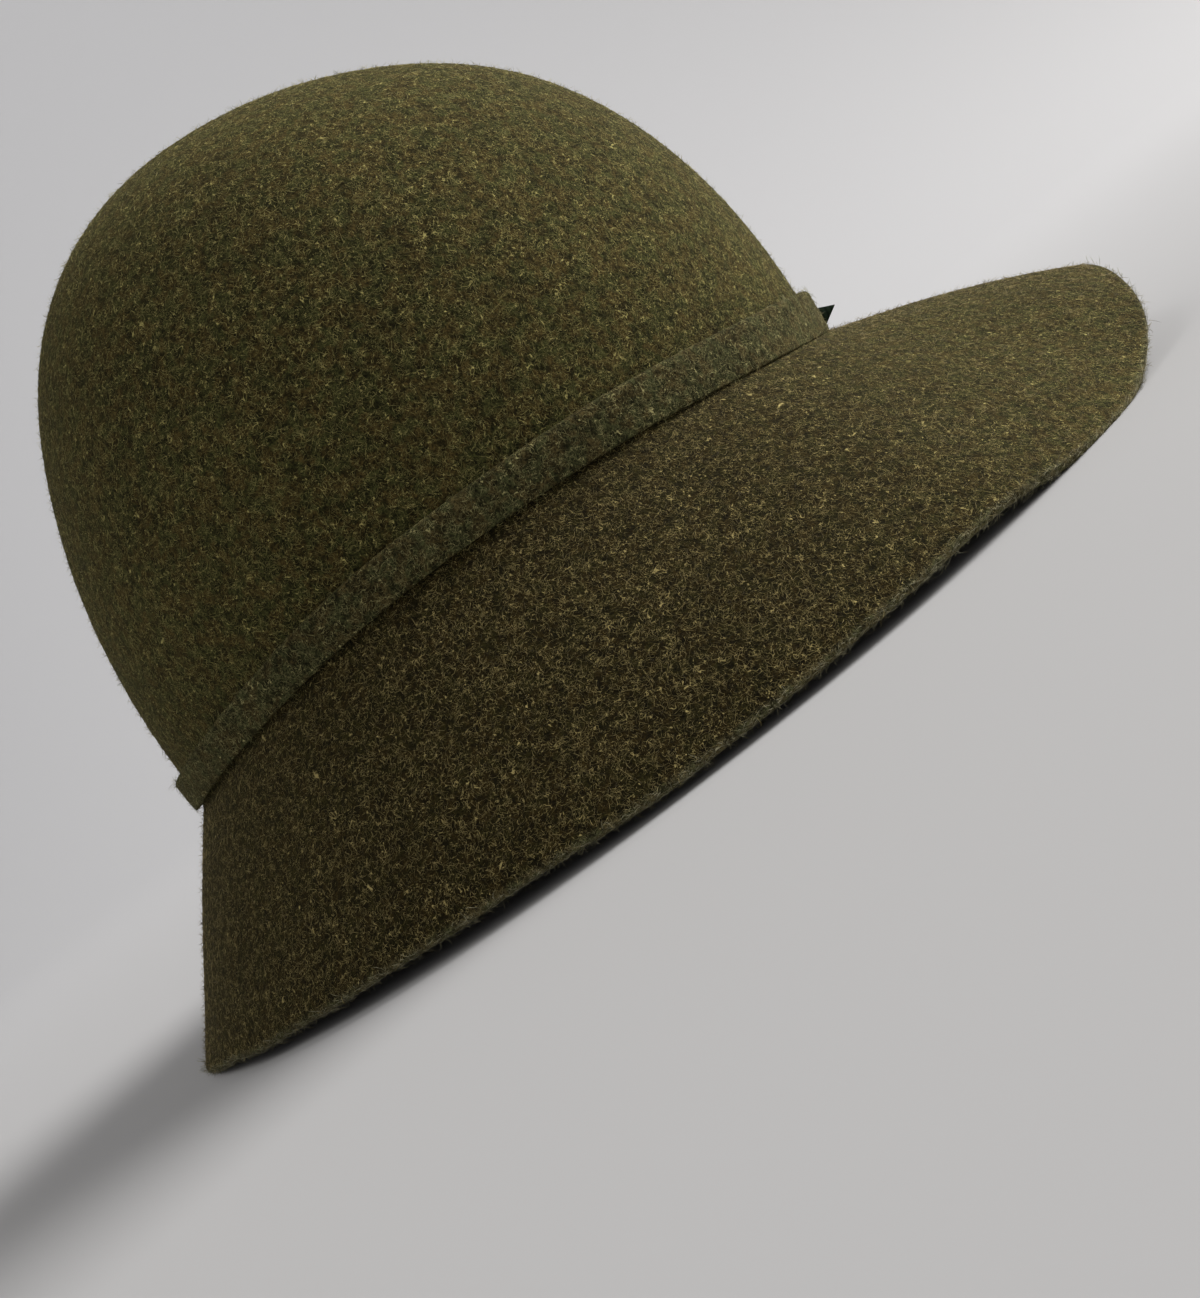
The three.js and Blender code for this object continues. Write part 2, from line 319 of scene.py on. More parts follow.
# Felt band: a strip with rounded corners carried round the foot of the crown.
band = {
    "height": 0.0091,          # at the sides
    "taper": 0.0013,           # taller by this at the front, and lower at the back
    "thickness": 0.0026,
    "lift": 0.0003,            # of its lower edge above the break line
    "lowerRounding": 0.0009,
    "upperRounding": 0.0012,   # of the upper corner on the face
    "creviceRounding": 0.0013, # of the upper corner against the crown
    "gap": 0.0003,             # between band and crown
    "wave": 0.0003,            # how far its edges wander up and down
    "upperWaves": (5, 2),      # turns of the two sines whose product the upper edge follows
    "upperStarts": (1.0, 0.0), # and where they start, in radians
    "lowerWaves": (7, 3),
    "lowerStarts": (2.0, 0.5),
    "closeFront": 1.35,        # how far its lower edge follows the brim's fall, at the centre front
    "closeBack": 0.4,
    "closePower": 3,           # how fast the front's share of the two falls away towards the sides
    "azimuths": 540,
    "cornerPoints": 6,
}


# A point off the crown's face at a height above the break line and a distance from the face.
def offCrown(azimuth, height, distance):
    _, outward = breakLine(azimuth)
    return crownFace(azimuth, crownAngle(azimuth, height)) + outward * np.asarray(distance)[..., None]


# The strip's outline, down its back and up its face: an arc of a quarter turn at each corner.
def stripOutline(height, depth, roundings):
    lower, upper, crevice = roundings
    corners = [
        (height - crevice, crevice, crevice, 90),
        (lower, lower, lower, 180),
        (lower, depth - lower, lower, 270),
        (height - upper, depth - upper, upper, 0),
    ]
    heights, depths = [], []
    for cornerHeight, cornerDepth, rounding, turn in corners:
        a = np.radians(turn + np.linspace(0, 90, band["cornerPoints"]))[:, None]
        heights.append(cornerHeight + rounding * np.sin(a) + 0 * height)
        depths.append(cornerDepth + rounding * np.cos(a) + 0 * height)
    return np.concatenate(heights), np.concatenate(depths)


# How far the brim's face lies below the break line, at a distance out from there.
def brimFall(azimuth, distance):
    side = np.abs((azimuth + 180) % 360 - 180)
    reach = hood["brimReach"] * readTable(brimSections, "azimuth", "reach", side, True)
    return breakLine(azimuth)[0][..., 2] - brimFace(azimuth, distance / reach)[..., 2]


# How an edge of the band wanders, between -1 and 1: a product of two sines of the azimuth.
def edgeWander(a, waves, starts):
    return np.sin(waves[0] * a + starts[0]) * np.sin(waves[1] * a + starts[1])


# The strip's outline carried round the crown. It is as high as the height plus the taper times the cosine
# of the azimuth, and its lower edge is let down by a share of the brim's fall below it.
def makeBand():
    azimuth = np.arange(band["azimuths"])[None, :] * 360 / band["azimuths"]
    a = np.radians(azimuth)
    upperWander = edgeWander(a, band["upperWaves"], band["upperStarts"])
    lowerWander = (1 + edgeWander(a, band["lowerWaves"], band["lowerStarts"])) / 2
    height = band["height"] + band["taper"] * np.cos(a) + band["wave"] * upperWander
    roundings = band["lowerRounding"], band["upperRounding"], band["creviceRounding"]
    heights, depths = stripOutline(height, band["thickness"], roundings)
    frontShare = ((1 + np.cos(a)) / 2) ** band["closePower"]
    close = band["closeBack"] + (band["closeFront"] - band["closeBack"]) * frontShare
    heights = heights - close * brimFall(azimuth, band["gap"] + depths) * (1 - heights / height)
    lift = band["lift"] + band["wave"] * lowerWander
    rings = offCrown(azimuth + 0 * heights, lift + heights, band["gap"] + depths)
    return meshFromRings("band_felt", placeHat(rings)), rings


# Ribbon tab: a narrow ribbed ribbon that lies along the band, turns outwards and ends in a point.
ribbon = {
    "thickness": 0.0012,
    "height": 0.0048,
    "lift": 0.0006,
    "start": -15,              # azimuths, in degrees
    "turn": -3,
    "bendRadius": 0.0024,
    "bendAngle": 78,
    "reach": 0.0024,
    "point": 0.0045,
    "pointHeight": 0.58,       # where the tip lies across the ribbon, as a share
    "pointShare": 0.96,        # how much of the point is built, which leaves a blunt tip
    "gap": 0.0003,             # between ribbon and band
    "rows": 24,                # in each of its three stretches: on the band, in the bend and beyond
    "bevel": 0.00025,
    "tipBevel": 0.5,           # share of the bevel that is left at the tip
}
# The corners of its section: whether on the upper edge, on which face, and whether the bevel moves the
# corner in from the edge or in from the face.
ribbonCorners = {
    "upper": [1, 1, 1, 1, 0, 0, 0, 0],
    "face": [-1, -1, 1, 1, 1, 1, -1, -1],
    "fromEdge": [1, 0, 0, 1, 1, 0, 0, 1],
    "fromFace": [0, 1, 1, 0, 0, 1, 1, 0],
}


# The ribbon's path in plan, as an azimuth on the band, an offset from there and the direction across the
# ribbon: along the band, then r sin a forward and r (1 - cos a) outward, then straight on.
def ribbonPath(beyond):
    rows, turn = ribbon["rows"], float(ribbon["turn"])
    azimuth = np.linspace(ribbon["start"], turn, rows, endpoint=False)
    _, onBand = breakLine(azimuth)
    _, outward = breakLine(np.array([turn]))
    forward = np.stack([outward[:, 1], -outward[:, 0], 0 * outward[:, 0]], -1)
    bend = math.radians(ribbon["bendAngle"])
    a = np.linspace(0, bend, rows)[:, None]
    arc = ribbon["bendRadius"] * (np.sin(a) * forward + (1 - np.cos(a)) * outward)
    onwards = math.cos(bend) * forward + math.sin(bend) * outward
    turning = np.cos(a) * outward - np.sin(a) * forward
    offsets = np.concatenate([np.zeros((rows, 3)), arc, arc[-1] + onwards * beyond[:, None]])
    across = np.concatenate([onBand, turning, np.repeat(turning[-1:], len(beyond), 0)])
    return np.concatenate([azimuth, np.full(rows + len(beyond), turn)]), offsets, across


# The ribbon's section carried along its path. Over the point, its lower and upper edges close in to the
# tip's height in proportion to the distance run.
def makeRibbon():
    built = ribbon["reach"] + ribbon["point"] * ribbon["pointShare"]
    beyond = built * np.linspace(0, 1, ribbon["rows"])[1:]
    azimuth, offsets, across = ribbonPath(beyond)
    pointed = np.clip((beyond - ribbon["reach"]) / ribbon["point"], 0, 1)
    pointed = np.concatenate([np.zeros(len(azimuth) - len(beyond)), pointed])
    low = ribbon["pointHeight"] * pointed
    high = 1 - (1 - ribbon["pointHeight"]) * pointed
    fromCrown = band["gap"] + band["thickness"] + ribbon["gap"] + ribbon["thickness"] / 2
    bottom = offCrown(azimuth, np.full(len(azimuth), ribbon["lift"]), fromCrown)
    top = offCrown(azimuth, np.full(len(azimuth), ribbon["lift"] + ribbon["height"]), fromCrown)
    rings = []
    for upper, face, fromEdge, fromFace in zip(*ribbonCorners.values()):
        share = high if upper else low
        point = bottom + (top - bottom) * share[:, None] + offsets
        point[:, 2] -= ribbon["bevel"] * fromEdge * (1 if upper else -1) * (1 - pointed)
        inset = ribbon["bevel"] * fromFace * (1 - (1 - ribbon["tipBevel"]) * pointed)
        rings.append(point + across * face * (ribbon["thickness"] / 2 - inset)[:, None])
    rings = np.stack(rings, 1)
    return meshFromRings("ribbon", placeHat(rings), placeHat(rings[0].mean(0)), placeHat(rings[-1].mean(0)))


hoodPiece, hoodRings, edgeRings = makeHood()
bandPiece, bandRings = makeBand()
ribbonPiece = makeRibbon()
print("stage: hood, band and ribbon made")

# Loose wool fibres of the nap, rooted in the felt and curling over it.
nap = {
    "length": (0.0014, 0.0044),
    "radius": (0.000032, 0.000062),
    "taper": 0.8,              # share of its radius that a fibre keeps at its last ring
    "rings": 2,                # of three points each, between a fibre's two tips
    "curl": 2.2,               # radians that a fibre turns over its length, as a normal spread
    "spread": 0.9,             # radians that it strays from straight up or down the hood, likewise
    "lie": (0.00006, 0.00018), # how high a lying fibre arches over the felt
    "raised": 0.5,             # share of fibres whose tip stands up
    "raisedHeight": 0.0016,
    "raisedPower": 1.6,        # their height follows this power of the distance run
    "raisedReach": 0.7,        # share of their length that they run over the felt
    "rootDepth": 0.0001,
    "crownCount": 27500,
    "brimCount": 28500,
    "bandCount": 2600,
    "edgeCount": 4200,
    "seed": 7,
}
random = np.random.default_rng(nap["seed"])


# Random places over a grid of rings, chosen by area. Each comes with the felt's normal and two directions
# over the felt, round the hood and up it.
def scatterRoots(rings, count):
    along = rings[1:] - rings[:-1]
    around = np.roll(rings, -1, axis=1) - rings
    cross = np.cross(along, around[:-1])
    area = np.linalg.norm(cross, axis=-1)
    cell = random.choice(area.size, count, p=(area / area.sum()).ravel())
    i, j = np.divmod(cell, rings.shape[1])
    k = (j + 1) % rings.shape[1]
    u, v = random.random((2, count, 1))
    first = rings[i, j] * (1 - u) + rings[i + 1, j] * u
    second = rings[i, k] * (1 - u) + rings[i + 1, k] * u
    normal = cross[i, j] / area[i, j][:, None]
    side = around[i, j] / np.linalg.norm(around[i, j], axis=-1, keepdims=True)
    side -= normal * (side * normal).sum(-1, keepdims=True)
    side /= np.linalg.norm(side, axis=-1, keepdims=True)
    return first * (1 - v) + second * v, normal, side, np.cross(normal, side)


# The faces of fibres whose points are, for each fibre, a tip, rings of three and a tip.
def fibreFaces(count):
    c = np.arange(3)
    n = (c + 1) % 3
    last = 3 * nap["rings"] + 1
    walls = [np.stack([c, n, n + 3, c + 3], -1) + 1 + 3 * ring for ring in range(nap["rings"] - 1)]
    rootEnd = np.stack([0 * c, 1 + n, 1 + c], -1)
    farEnd = np.stack([0 * c, c - 3, n - 3], -1) + last
    base = np.arange(count)[:, None, None] * (last + 1)
    quads = np.concatenate(walls) + base
    tris = np.concatenate([rootEnd, farEnd]) + base
    return quads.reshape(-1, 4), tris.reshape(-1, 3)


# Fibres over a grid of rings. Each runs over the felt as an arc: it heads up or down the hood, strays from
# there at random, and turns by curl times the distance run. Its height is an arch of sine, or a power of the
# distance for the raised ones. Its section is a triangle that tapers to a point at both ends.
def makeFibres(name, rings, count):
    root, normal, side, other = scatterRoots(rings, count)
    length = random.uniform(*nap["length"], count)
    heading = random.normal(0, nap["spread"], count) + np.pi * (random.integers(2, size=count) - 0.5)
    curl = random.normal(0, nap["curl"], count)
    raised = random.random(count) < nap["raised"]
    raisedPeak = nap["raisedHeight"] * random.random(count)
    lyingPeak = random.uniform(*nap["lie"], count)
    rows = nap["rings"]
    t = np.linspace(0, 1, rows + 2)[:, None]
    turn = heading + curl * t
    midTurn = (turn[1:] + turn[:-1]) / 2
    step = length * np.where(raised, nap["raisedReach"], 1.0) / (rows + 1)
    start = np.zeros((1, count))
    aside = np.concatenate([start, np.cumsum(np.cos(midTurn), axis=0) * step])[..., None]
    upward = np.concatenate([start, np.cumsum(np.sin(midTurn), axis=0) * step])[..., None]
    height = np.where(raised, raisedPeak * t ** nap["raisedPower"], lyingPeak * np.sin(np.pi * t))
    height = (height - nap["rootDepth"] * (1 - t))[..., None]
    spine = root + side * aside + other * upward + normal * height
    ahead = (np.cos(turn)[..., None] * side + np.sin(turn)[..., None] * other)[1:-1]
    flank = np.cross(normal, ahead)
    radius = random.uniform(*nap["radius"], count) * np.linspace(1, nap["taper"], rows)[:, None]
    corner = np.radians([90, 210, 330])
    offsets = np.stack([np.cos(a) * flank + np.sin(a) * normal for a in corner], 2) * radius[..., None, None]
    middle = (spine[1:-1, :, None] + offsets).transpose(1, 0, 2, 3).reshape(count, 3 * rows, 3)
    points = np.concatenate([spine[:1].transpose(1, 0, 2), middle, spine[-1:].transpose(1, 0, 2)], 1)
    return meshFromFaces(name, placeHat(points.reshape(-1, 3)), *fibreFaces(count))


# The nap's pieces. The crown's and the brim's are made in halves, and the band's only on its face.
def makeNap():
    breakRow = hood["brimRows"] + hood["creaseRows"] // 2
    faceStart = 2 * band["cornerPoints"]
    parts = {
        "crown_nap_a": (hoodRings[breakRow:], nap["crownCount"] // 2),
        "crown_nap_b": (hoodRings[breakRow:], nap["crownCount"] // 2),
        "brim_nap_a": (hoodRings[:breakRow], nap["brimCount"] // 2),
        "brim_nap_b": (hoodRings[:breakRow], nap["brimCount"] // 2),
        "edge_nap": (edgeRings, nap["edgeCount"]),
        "band_nap": (bandRings[faceStart:], nap["bandCount"]),
    }
    return {name: makeFibres(name, rings, count) for name, (rings, count) in parts.items()}


napPieces = makeNap()
print("stage: nap made")


# Adds a node. Each input takes either another node's output or a plain value.
def addNode(tree, kind, inputs=None, **settings):
    node = tree.nodes.new(kind)
    for key, value in settings.items():
        setattr(node, key, value)
    for key, value in (inputs or {}).items():
        if isinstance(value, bpy.types.NodeSocket):
            tree.links.new(value, node.inputs[key])
        else:
            node.inputs[key].default_value = value
    return node


def addMath(tree, operation, first, second=0.0):
    return addNode(tree, "ShaderNodeMath", {0: first, 1: second}, operation=operation).outputs[0]


# The mix node has inputs of the same name for other kinds of data, so these are found by identifier.
def mixColors(tree, factor, first, second, blend="MIX"):
    node = addNode(tree, "ShaderNodeMix", data_type="RGBA", blend_type=blend)
    for name, value in (("Factor_Float", factor), ("A_Color", first), ("B_Color", second)):
        socket = next(s for s in node.inputs if s.identifier == name)
        if isinstance(value, bpy.types.NodeSocket):
            tree.links.new(value, socket)
        else:
            socket.default_value = value
    return next(s for s in node.outputs if s.identifier == "Result_Color")


def smoothRange(tree, value, low, high, toLow=0.0, toHigh=1.0):
    return addNode(tree, "ShaderNodeMapRange",
                   {"Value": value, "From Min": low, "From Max": high, "To Min": toLow, "To Max": toHigh},
                   interpolation_type="SMOOTHSTEP").outputs["Result"]


def noiseValue(tree, vector, scale, detail=2.0, roughness=0.5, distortion=0.0):
    return addNode(tree, "ShaderNodeTexNoise",
                   {"Vector": vector, "Scale": scale, "Detail": detail, "Roughness": roughness,
                    "Distortion": distortion}).outputs["Fac"]


def newGroup(name, inputs, outputs):
    tree = bpy.data.node_groups.new(name, "ShaderNodeTree")
    for socketName, kind, value in inputs:
        socket = tree.interface.new_socket(socketName, in_out="INPUT", socket_type=kind)
        if value is not None:
            socket.default_value = value
    for socketName, kind in outputs:
        tree.interface.new_socket(socketName, in_out="OUTPUT", socket_type=kind)
    return tree, tree.nodes.new("NodeGroupInput").outputs, tree.nodes.new("NodeGroupOutput").inputs


def addGroup(tree, group, inputs):
    return addNode(tree, "ShaderNodeGroup", inputs, node_tree=group).outputs


# How the fibres painted on the felt are drawn, in layers. Frequencies are multiples of one in each fibre
# size, and a noise changes over within its range.
fibrePattern = {
    "layerFrequency": [0.7, 1.0, 1.3, 1.7],
    "layerWidth": [0.008, 0.010, 0.013, 0.017], # how far from one half the noise still draws a line
    "layerSeed": [0.13, 0.37, 0.59, 0.83],
    "wriggle": 0.6,
    "gapFrequency": 0.8,       # of the gaps that break the lines up
    "gapRange": (0.46, 0.56),
    "grainFrequency": 2.6,     # of the fine grain under the fibres
    "fibreHeight": 0.35,       # of the fibres over the grain
}


# Curled fibre: thin bright lines where a slow noise crosses one half, broken up by a second noise.
def makeCurledFibre():
    tree, given, result = newGroup(
        "curled fibre",
        [("Vector", "NodeSocketVector", None), ("Scale", "NodeSocketFloat", 400.0),
         ("Width", "NodeSocketFloat", 0.03), ("Seed", "NodeSocketFloat", 0.0)],
        [("Mask", "NodeSocketFloat")])
    moved = addNode(tree, "ShaderNodeVectorMath", {0: given["Vector"], 1: given["Seed"]},
                    operation="ADD").outputs[0]
    field = noiseValue(tree, moved, given["Scale"], detail=1.0, distortion=fibrePattern["wriggle"])
    away = addMath(tree, "ABSOLUTE", addMath(tree, "SUBTRACT", field, 0.5))
    line = smoothRange(tree, away, 0.0, given["Width"], 1.0, 0.0)
    gapScale = addMath(tree, "MULTIPLY", given["Scale"], fibrePattern["gapFrequency"])
    shown = smoothRange(tree, noiseValue(tree, moved, gapScale, detail=0.0), *fibrePattern["gapRange"])
    tree.links.new(addMath(tree, "MULTIPLY", line, shown), result["Mask"])
    return tree


# Felt nap: layers of curled fibres of different sizes, and the height that they and the fine grain make,
# which is the grain plus fibreHeight times the fibres.
def makeFeltNap(curledFibre):
    tree, given, result = newGroup(
        "felt nap",
        [("Vector", "NodeSocketVector", None), ("Fibre Size", "NodeSocketFloat", 0.0025)],
        [("Fibres", "NodeSocketFloat"), ("Height", "NodeSocketFloat")])
    scale = addMath(tree, "DIVIDE", 1.0, given["Fibre Size"])
    layers = zip(fibrePattern["layerFrequency"], fibrePattern["layerWidth"], fibrePattern["layerSeed"])
    total = None
    for frequency, width, seed in layers:
        layer = addGroup(tree, curledFibre, {
            "Vector": given["Vector"], "Scale": addMath(tree, "MULTIPLY", scale, frequency),
            "Width": width, "Seed": seed})["Mask"]
        total = layer if total is None else addMath(tree, "MAXIMUM", total, layer)
    grainScale = addMath(tree, "MULTIPLY", scale, fibrePattern["grainFrequency"])
    grain = noiseValue(tree, given["Vector"], grainScale, detail=3.0, roughness=0.7)
    height = addMath(tree, "ADD", addMath(tree, "MULTIPLY", total, fibrePattern["fibreHeight"]), grain)
    tree.links.new(total, result["Fibres"])
    tree.links.new(height, result["Height"])
    return tree


# How the marl is patterned. Frequencies are multiples of one in each patch size.
marlPattern = {
    "hueFrequency": 0.45,      # of the change from green to brown wool
    "hueRange": (0.43, 0.57),
    "darkRange": (0.6, 0.38),
    "darkShift": (0.31, 0.17, 0.53), # metres, which keeps the dark patches clear of the brown ones
    "speckleFrequency": 4.2,
    "speckleRange": (0.34, 0.66),
    "speckleTone": (0.35, 1.55),
    "cloudFrequency": 26.0,    # in each metre
    "cloudRange": (0.35, 0.65),
    "cloudTone": (0.92, 1.08),
}


# Felt marl: patches of two dyed wools and a dark one, mixed by noises of a few sizes, times the tone of a
# fine speckle and of slow clouds some centimetres wide.
def makeFeltMarl():
    tree, given, result = newGroup(
        "felt marl",
        [("Vector", "NodeSocketVector", None), ("Patch Size", "NodeSocketFloat", 0.0024),
         ("Green", "NodeSocketColor", (0.08, 0.08, 0.03, 1)),
         ("Brown", "NodeSocketColor", (0.09, 0.07, 0.03, 1)),
         ("Dark", "NodeSocketColor", (0.02, 0.02, 0.01, 1)), ("Contrast", "NodeSocketFloat", 1.0)],
        [("Color", "NodeSocketColor")])
    scale = addMath(tree, "DIVIDE", 1.0, given["Patch Size"])
    hueScale = addMath(tree, "MULTIPLY", scale, marlPattern["hueFrequency"])
    hue = noiseValue(tree, given["Vector"], hueScale, detail=3.0, roughness=0.6)
    shifted = addNode(tree, "ShaderNodeVectorMath", {0: given["Vector"], 1: marlPattern["darkShift"]},
                      operation="ADD").outputs[0]
    depth = noiseValue(tree, shifted, scale, detail=4.0, roughness=0.65)
    speckleScale = addMath(tree, "MULTIPLY", scale, marlPattern["speckleFrequency"])
    speckle = noiseValue(tree, shifted, speckleScale, detail=2.0, roughness=0.6)
    cloud = noiseValue(tree, given["Vector"], marlPattern["cloudFrequency"], detail=2.0)
    brownShare = smoothRange(tree, hue, *marlPattern["hueRange"])
    twoWools = mixColors(tree, brownShare, given["Green"], given["Brown"])
    dark = smoothRange(tree, depth, *marlPattern["darkRange"])
    darkShare = addMath(tree, "MULTIPLY", dark, given["Contrast"])
    marled = mixColors(tree, darkShare, twoWools, given["Dark"])
    speckleTone = smoothRange(tree, speckle, *marlPattern["speckleRange"], *marlPattern["speckleTone"])
    cloudTone = smoothRange(tree, cloud, *marlPattern["cloudRange"], *marlPattern["cloudTone"])
    tone = addMath(tree, "MULTIPLY", speckleTone, cloudTone)
    toneColor = addNode(tree, "ShaderNodeCombineColor", {0: tone, 1: tone, 2: tone}).outputs[0]
    tree.links.new(mixColors(tree, 1.0, marled, toneColor, "MULTIPLY"), result["Color"])
    return tree


feltMarl = makeFeltMarl()
feltNap = makeFeltNap(makeCurledFibre())

# The felts: two wools and a dark one in the marl, and the light fibres that lie on top. Linear colours.
felts = {
    "crown": {"green": (0.053, 0.054, 0.017, 1), "brown": (0.070, 0.051, 0.016, 1),
              "dark": (0.010, 0.009, 0.003, 1), "fibre": (0.54, 0.47, 0.17, 1)},
    # The brim's set is the crown's felt painted darker and browner: painted shade on the brim, which is one
    # felt with the crown.
    "brim": {"green": (0.024, 0.020, 0.005, 1), "brown": (0.028, 0.019, 0.005, 1),
             "dark": (0.004, 0.003, 0.001, 1), "fibre": (0.52, 0.42, 0.17, 1)},
    # The cut edge's set is painted paler: a painted highlight of the light rim along the brim's edge.
    "edge": {"green": (0.105, 0.105, 0.048, 1), "brown": (0.120, 0.100, 0.046, 1),
             "dark": (0.020, 0.018, 0.009, 1), "fibre": (0.50, 0.46, 0.29, 1)},
    "band": {"green": (0.060, 0.063, 0.025, 1), "brown": (0.078, 0.060, 0.023, 1),
             "dark": (0.010, 0.009, 0.003, 1), "fibre": (0.52, 0.47, 0.21, 1)},
}
feltFinish = {
    "patchSize": 0.0019,
    "fibreSize": 0.0019,
    "contrast": 0.8,           # of the dark wool
    "fibreShare": 0.95,        # how strongly the painted fibres show
    "bumpHeight": 0.0006,
    "bumpStrength": 0.9,
    "roughness": 0.95,
    "specular": 0.08,
    "sheen": 0.11,
    "sheenRoughness": 0.4,
    "sheenTint": (0.85, 0.74, 0.30, 1),
}
# Where the brim's painted shade gives way: to the crown's wools about the break line, and towards the front
# of the brim, where painted light takes its place.
brimShadeBlend = {
    "low": -0.003,             # heights about the break line where the brim's painted shade gives way to the crown's wools
    "high": 0.004,
    "frontStart": -0.03,       # how far forward the front of the brim starts to take them too, as painted light that lifts the painted shade there
    "frontEnd": -0.13,
    "frontShare": 0.85,
}


def newMaterial(name, finish):
    material = bpy.data.materials.new(name)
    material.use_nodes = True
    shader = material.node_tree.nodes["Principled BSDF"]
    shader.inputs["Roughness"].default_value = finish["roughness"]
    shader.inputs["Specular IOR Level"].default_value = finish["specular"]
    return material, material.node_tree, shader


# Share of the crown's wools at a point, against the brim's painted shade. With cos a = -y / halfLength, the
# break line there is as high as (breakRise - breakSkew cos a) sin squared of a, and the wools change over a
# few millimetres about it.
# The front of the brim takes the crown's wools too, by a smooth step in y, as painted light on the front of
# the brim.
def crownAndLitFrontShare(tree, vector):
    place = addNode(tree, "ShaderNodeSeparateXYZ", {0: vector}).outputs
    backward = addMath(tree, "SUBTRACT", place[1], float(hatMiddle[1]))
    cosine = addMath(tree, "DIVIDE", backward, -halfLength)
    square = addMath(tree, "POWER", cosine, 2.0)
    sineSquared = addMath(tree, "MAXIMUM", addMath(tree, "SUBTRACT", 1.0, square), 0.0)
    skew = addMath(tree, "MULTIPLY", cosine, hood["breakSkew"])
    rise = addMath(tree, "SUBTRACT", hood["breakRise"], skew)
    foot = addMath(tree, "MULTIPLY", rise, sineSquared)
    above = addMath(tree, "SUBTRACT", addMath(tree, "SUBTRACT", place[2], float(hatMiddle[2])), foot)
    upper = smoothRange(tree, above, brimShadeBlend["low"], brimShadeBlend["high"])
    front = smoothRange(tree, backward, brimShadeBlend["frontStart"], brimShadeBlend["frontEnd"],
                        0.0, brimShadeBlend["frontShare"])
    return addMath(tree, "MAXIMUM", upper, front)


# Felt: the marl's three wools, with the nap's fibres lying over them and raising the surface.
# Given more sets of wools, the second is the brim's, painted darker as painted shade, and the third the cut
# edge's, painted paler as a painted highlight.
def makeFeltMaterial(name, wools, shadedBrimWools=None, edgeHighlightWools=None):
    material, tree, shader = newMaterial(name, feltFinish)
    vector = addNode(tree, "ShaderNodeTexCoord").outputs["Object"]
    if shadedBrimWools:
        share = crownAndLitFrontShare(tree, vector)
        wools = {key: mixColors(tree, share, shadedBrimWools[key], color) for key, color in wools.items()}
        atEdge = addNode(tree, "ShaderNodeAttribute", attribute_name="cut edge").outputs["Fac"]
        wools = {key: mixColors(tree, atEdge, color, edgeHighlightWools[key]) for key, color in wools.items()}
    marl = addGroup(tree, feltMarl, {
        "Vector": vector, "Patch Size": feltFinish["patchSize"], "Green": wools["green"],
        "Brown": wools["brown"], "Dark": wools["dark"], "Contrast": feltFinish["contrast"]})
    nap = addGroup(tree, feltNap, {"Vector": vector, "Fibre Size": feltFinish["fibreSize"]})
    fibreShare = addMath(tree, "MULTIPLY", nap["Fibres"], feltFinish["fibreShare"])
    tree.links.new(mixColors(tree, fibreShare, marl["Color"], wools["fibre"]), shader.inputs["Base Color"])
    bump = addNode(tree, "ShaderNodeBump", {"Height": nap["Height"], "Distance": feltFinish["bumpHeight"],
                                            "Strength": feltFinish["bumpStrength"]})
    tree.links.new(bump.outputs["Normal"], shader.inputs["Normal"])
    shader.inputs["Sheen Weight"].default_value = feltFinish["sheen"]
    shader.inputs["Sheen Roughness"].default_value = feltFinish["sheenRoughness"]
    shader.inputs["Sheen Tint"].default_value = feltFinish["sheenTint"]
    return material


fibreFinish = {
    "toneFrequency": 700.0,    # in each metre
    "toneRange": (0.35, 0.65),
    "roughness": 0.6,
    "specular": 0.3,
}


# Wool fibre: each takes its tone between dark and light wool from where it lies.
def makeFibreMaterial(name, dark, light):
    material, tree, shader = newMaterial(name, fibreFinish)
    vector = addNode(tree, "ShaderNodeTexCoord").outputs["Object"]
    noise = noiseValue(tree, vector, fibreFinish["toneFrequency"], detail=1.0)
    tone = smoothRange(tree, noise, *fibreFinish["toneRange"])
    tree.links.new(mixColors(tree, tone, dark, light), shader.inputs["Base Color"])
    return material


ribbonFinish = {
    "ribFrequency": 1400.0,    # in each metre
    "ribWander": 0.4,
    "grainFrequency": 3000.0,
    "grainShare": 0.5,
    "toneRange": (0.2, 1.3),
    "dark": (0.004, 0.010, 0.004, 1),
    "light": (0.012, 0.026, 0.012, 1),
    "bumpHeight": 0.0001,
    "bumpStrength": 0.5,
    "roughness": 0.85,
    "specular": 0.15,
}


# Ribbon: dark green, with fine ribs across its length and a grain over them.
def makeRibbonMaterial():
    material, tree, shader = newMaterial("dark green ribbon", ribbonFinish)
    vector = addNode(tree, "ShaderNodeTexCoord").outputs["Object"]
    ribs = addNode(tree, "ShaderNodeTexWave", {
        "Vector": vector, "Scale": ribbonFinish["ribFrequency"],
        "Distortion": ribbonFinish["ribWander"]}, bands_direction="X").outputs["Fac"]
    grain = noiseValue(tree, vector, ribbonFinish["grainFrequency"], detail=2.0)
    height = addMath(tree, "ADD", ribs, addMath(tree, "MULTIPLY", grain, ribbonFinish["grainShare"]))
    tone = smoothRange(tree, height, *ribbonFinish["toneRange"])
    color = mixColors(tree, tone, ribbonFinish["dark"], ribbonFinish["light"])
    tree.links.new(color, shader.inputs["Base Color"])
    bump = addNode(tree, "ShaderNodeBump", {"Height": height, "Distance": ribbonFinish["bumpHeight"],
                                            "Strength": ribbonFinish["bumpStrength"]})
    tree.links.new(bump.outputs["Normal"], shader.inputs["Normal"])
    return material


hoodPiece.data.materials.append(makeFeltMaterial("hood felt", felts["crown"], felts["brim"], felts["edge"]))
bandPiece.data.materials.append(makeFeltMaterial("band felt", felts["band"]))
ribbonPiece.data.materials.append(makeRibbonMaterial())

